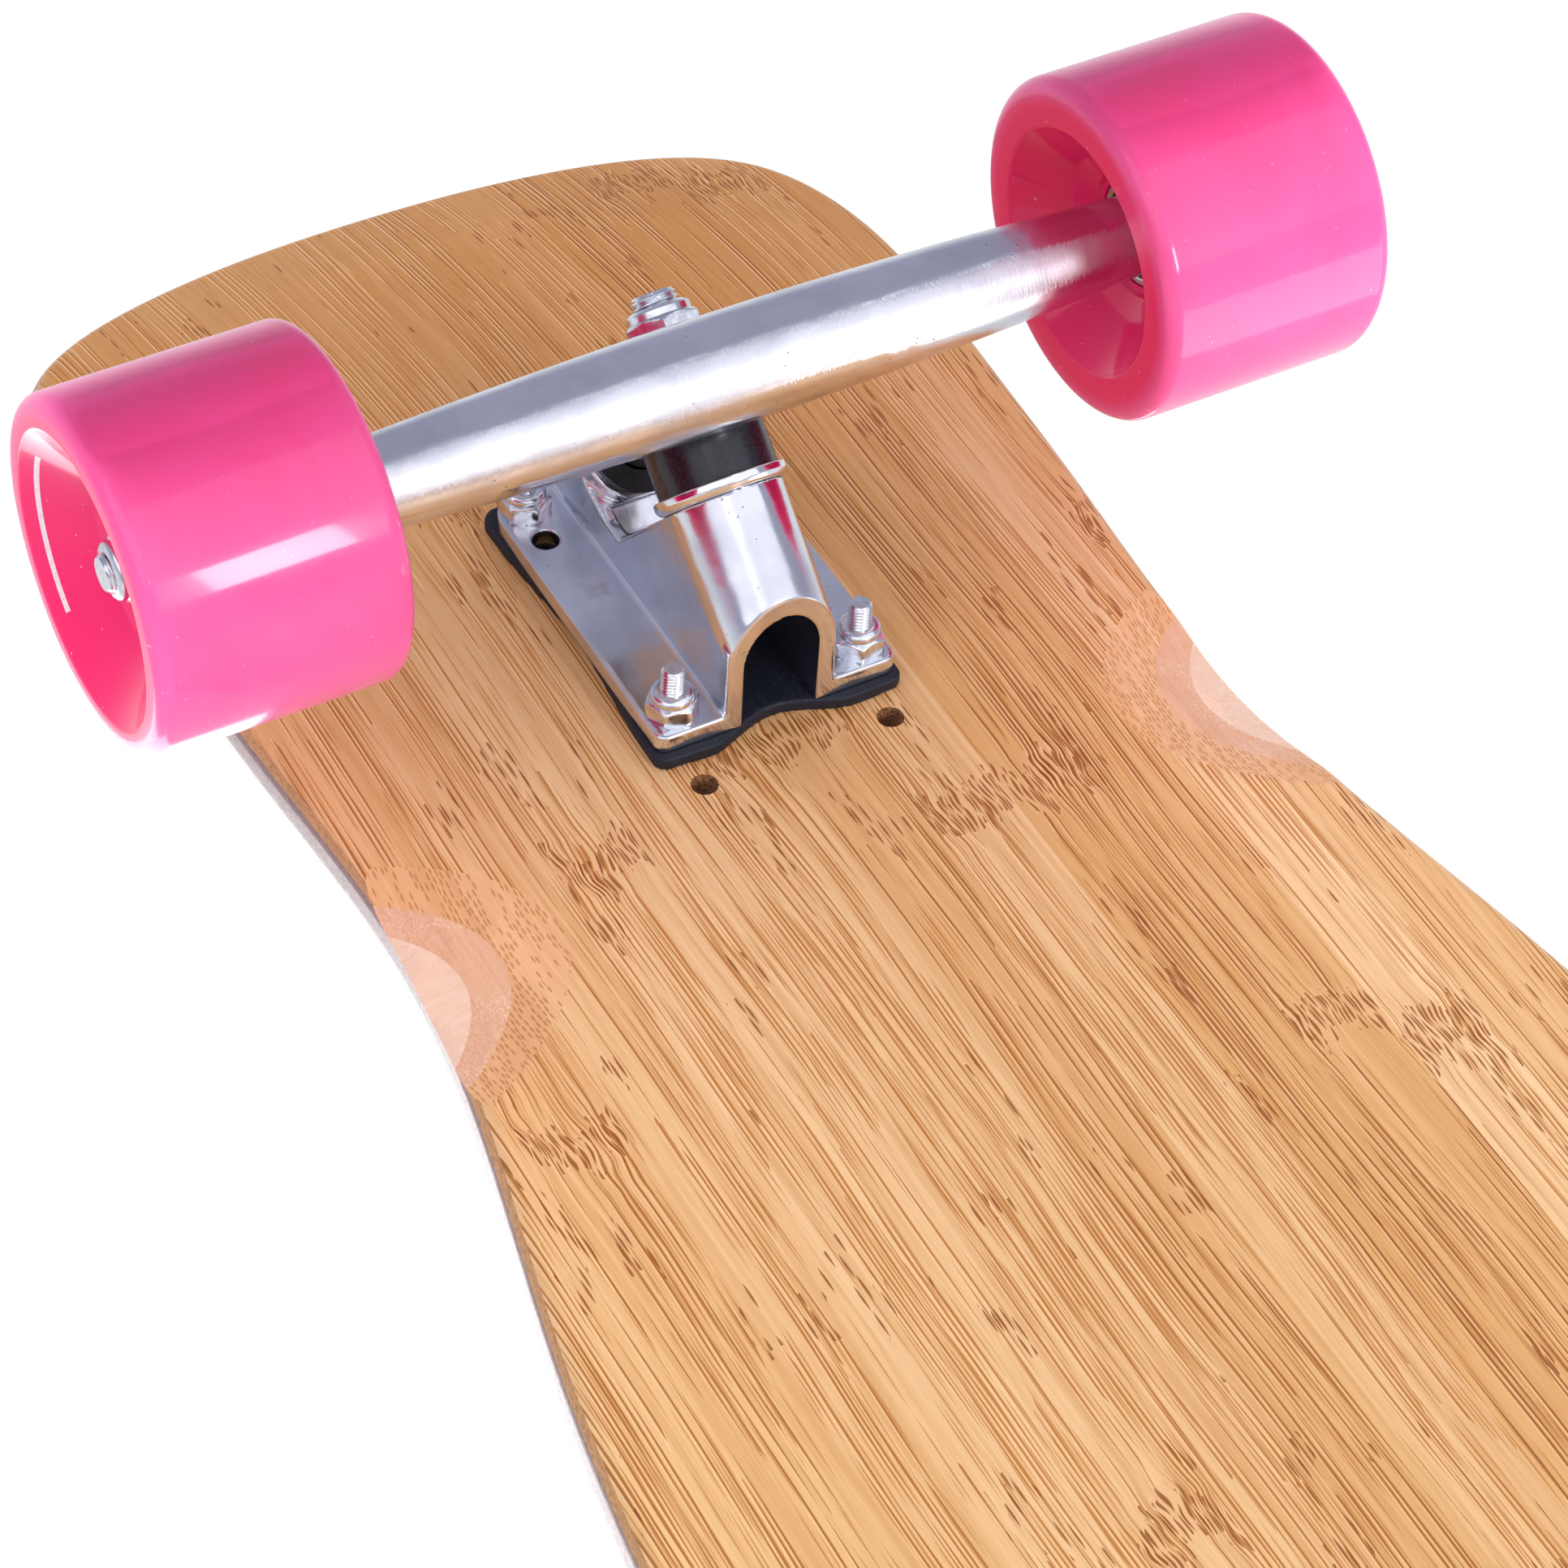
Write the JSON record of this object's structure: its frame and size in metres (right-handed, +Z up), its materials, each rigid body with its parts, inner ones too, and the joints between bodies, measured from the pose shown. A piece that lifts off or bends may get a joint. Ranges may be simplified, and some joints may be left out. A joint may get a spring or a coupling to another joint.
{
  "type": "skateboard",
  "caption": "Longboard skateboard: laminated bamboo and maple deck, reverse-kingpin trucks that steer on bushings, free-spinning urethane wheels on ball bearings.",
  "frame": {"origin": "on the floor under the middle of the board", "axes": "+Z up, +X along the board towards the nose, +Y to the rider's left, parallel to the axles"},
  "size_m": [1.016, 0.2604, 0.1349],
  "materials": {
    "bamboo": "satin varnished bamboo strips",
    "maple": "varnished maple, lengthwise grain",
    "maple_cross": "varnished maple, cross grain",
    "grip": "black grit",
    "riser_rubber": "matte black rubber",
    "cast_aluminium": "polished cast aluminium",
    "zinc_steel": "bright zinc plate",
    "chrome_steel": "chrome",
    "bearing_steel": "ground bearing steel",
    "brass_cage": "stamped brass",
    "seal_rubber": "black moulded rubber",
    "bushing_urethane": "glossy black urethane",
    "black_plastic": "moulded plastic",
    "pink_urethane": "glossy cast urethane"
  },
  "bodies": {
    "deck": {"deck_bamboo_bottom": "bamboo", "deck_maple_ply_1": "maple", "deck_maple_ply_2": "maple_cross", "deck_maple_ply_3": "maple", "deck_maple_ply_4": "maple_cross", "deck_bamboo_top": "bamboo", "grip_tape": "grip", "front_riser_pad": "riser_rubber", "front_baseplate": "cast_aluminium", "front_pivot_cup": "black_plastic", "front_kingpin": "zinc_steel", "front_kingpin_nut": "zinc_steel", "front_cup_washers": "chrome_steel", "front_bushing_boardside": "bushing_urethane", "front_bushing_roadside": "bushing_urethane", "front_mounting_screws": "zinc_steel", "front_mounting_nuts": "zinc_steel", "rear_riser_pad": "riser_rubber", "rear_baseplate": "cast_aluminium", "rear_pivot_cup": "black_plastic", "rear_kingpin": "zinc_steel", "rear_kingpin_nut": "zinc_steel", "rear_cup_washers": "chrome_steel", "rear_bushing_boardside": "bushing_urethane", "rear_bushing_roadside": "bushing_urethane", "rear_mounting_screws": "zinc_steel", "rear_mounting_nuts": "zinc_steel"},
    "front_hanger": {"front_hanger": "cast_aluminium", "front_axle": "zinc_steel", "front_axle_nuts": "zinc_steel", "front_speed_rings": "zinc_steel", "front_bearing_inner_rings": "bearing_steel", "front_bearing_spacers": "zinc_steel"},
    "front_left_wheel": {"front_left_tyre": "pink_urethane", "front_left_bearing_outer_rings": "bearing_steel", "front_left_bearing_seals": "seal_rubber"},
    "front_left_ball_sets": {"front_left_bearing_balls": "bearing_steel", "front_left_bearing_cages": "brass_cage"},
    "front_right_wheel": {"front_right_tyre": "pink_urethane", "front_right_bearing_outer_rings": "bearing_steel", "front_right_bearing_seals": "seal_rubber"},
    "front_right_ball_sets": {"front_right_bearing_balls": "bearing_steel", "front_right_bearing_cages": "brass_cage"},
    "rear_hanger": {"rear_hanger": "cast_aluminium", "rear_axle": "zinc_steel", "rear_axle_nuts": "zinc_steel", "rear_speed_rings": "zinc_steel", "rear_bearing_inner_rings": "bearing_steel", "rear_bearing_spacers": "zinc_steel"},
    "rear_left_wheel": {"rear_left_tyre": "pink_urethane", "rear_left_bearing_outer_rings": "bearing_steel", "rear_left_bearing_seals": "seal_rubber"},
    "rear_left_ball_sets": {"rear_left_bearing_balls": "bearing_steel", "rear_left_bearing_cages": "brass_cage"},
    "rear_right_wheel": {"rear_right_tyre": "pink_urethane", "rear_right_bearing_outer_rings": "bearing_steel", "rear_right_bearing_seals": "seal_rubber"},
    "rear_right_ball_sets": {"rear_right_bearing_balls": "bearing_steel", "rear_right_bearing_cages": "brass_cage"}
  },
  "joints": [
    {"name": "front_steering", "type": "hinge", "parent": "deck", "child": "front_hanger", "pos_m": [0.35081, 0, 0.05205], "axis": [0.6428, 0, 0.766], "range_deg": [-20, 20], "stiffness_Nm_per_rad": 40, "deforming": ["front_bushing_boardside", "front_bushing_roadside"]},
    {"name": "front_left_wheel_spin", "type": "hinge", "parent": "front_hanger", "child": "front_left_wheel", "pos_m": [0.3423, 0.1047, 0.035], "axis": [0, 1, 0], "continuous": true},
    {"name": "front_left_balls_roll", "type": "hinge", "parent": "front_hanger", "child": "front_left_ball_sets", "pos_m": [0.3423, 0.1047, 0.035], "axis": [0, 1, 0], "continuous": true},
    {"name": "front_right_wheel_spin", "type": "hinge", "parent": "front_hanger", "child": "front_right_wheel", "pos_m": [0.3423, -0.1047, 0.035], "axis": [0, 1, 0], "continuous": true},
    {"name": "front_right_balls_roll", "type": "hinge", "parent": "front_hanger", "child": "front_right_ball_sets", "pos_m": [0.3423, -0.1047, 0.035], "axis": [0, 1, 0], "continuous": true},
    {"name": "rear_steering", "type": "hinge", "parent": "deck", "child": "rear_hanger", "pos_m": [-0.35081, 0, 0.05205], "axis": [-0.6428, 0, 0.766], "range_deg": [-20, 20], "stiffness_Nm_per_rad": 40, "deforming": ["rear_bushing_boardside", "rear_bushing_roadside"]},
    {"name": "rear_left_wheel_spin", "type": "hinge", "parent": "rear_hanger", "child": "rear_left_wheel", "pos_m": [-0.3423, 0.1047, 0.035], "axis": [0, 1, 0], "continuous": true},
    {"name": "rear_left_balls_roll", "type": "hinge", "parent": "rear_hanger", "child": "rear_left_ball_sets", "pos_m": [-0.3423, 0.1047, 0.035], "axis": [0, 1, 0], "continuous": true},
    {"name": "rear_right_wheel_spin", "type": "hinge", "parent": "rear_hanger", "child": "rear_right_wheel", "pos_m": [-0.3423, -0.1047, 0.035], "axis": [0, 1, 0], "continuous": true},
    {"name": "rear_right_balls_roll", "type": "hinge", "parent": "rear_hanger", "child": "rear_right_ball_sets", "pos_m": [-0.3423, -0.1047, 0.035], "axis": [0, 1, 0], "continuous": true}
  ],
  "couplings": [
    {"joint": "front_left_balls_roll", "follows": "front_left_wheel_spin", "ratio": 0.6254},
    {"joint": "front_right_balls_roll", "follows": "front_right_wheel_spin", "ratio": 0.6254},
    {"joint": "rear_left_balls_roll", "follows": "rear_left_wheel_spin", "ratio": 0.6254},
    {"joint": "rear_right_balls_roll", "follows": "rear_right_wheel_spin", "ratio": 0.6254}
  ]
}
